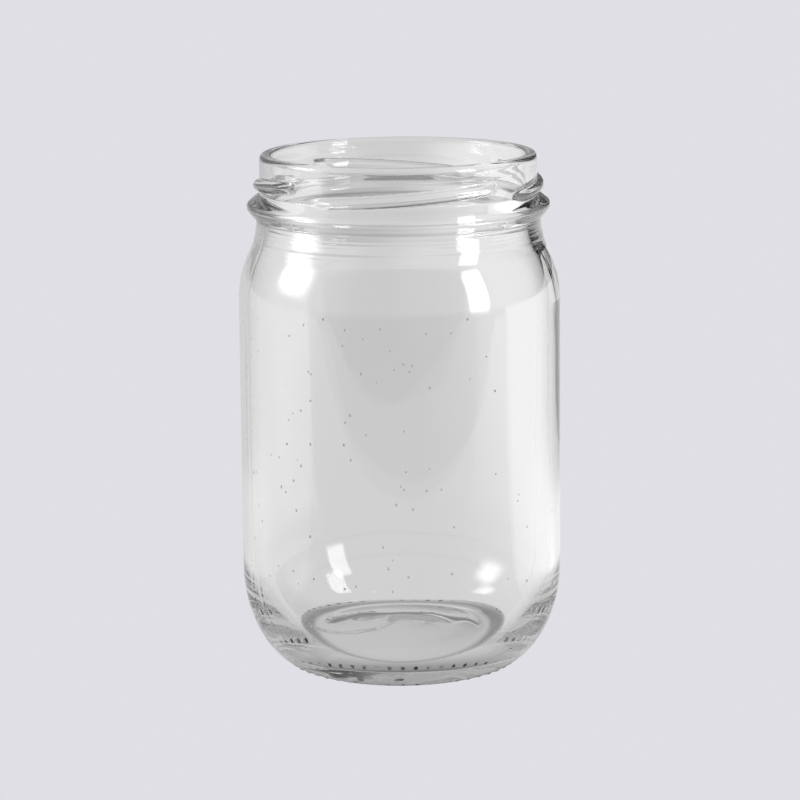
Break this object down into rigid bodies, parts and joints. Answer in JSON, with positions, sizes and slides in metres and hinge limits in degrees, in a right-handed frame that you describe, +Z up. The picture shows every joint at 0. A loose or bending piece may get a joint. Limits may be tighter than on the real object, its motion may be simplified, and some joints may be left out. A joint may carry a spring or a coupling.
{
  "type": "mason jar",
  "caption": "Open round clear-glass storage jar with a wide mouth, interrupted twist-off lugs over a bead, a sloping shoulder, straight sides and a deeply rounded heel.",
  "frame": {"origin": "centre of the flat ring that the jar stands on, on the jar's axis", "axes": "+Z up along the jar's axis, out of the mouth; -Y towards the front view; +X to the right in the front view"},
  "size_m": [0.0784, 0.0784, 0.127],
  "materials": {
    "clear_glass": "clear, fire-polished soda-lime glass with faint ripples and a few seeds"
  },
  "bodies": {
    "root": {"glass_jar": "clear_glass"}
  },
  "joints": []
}
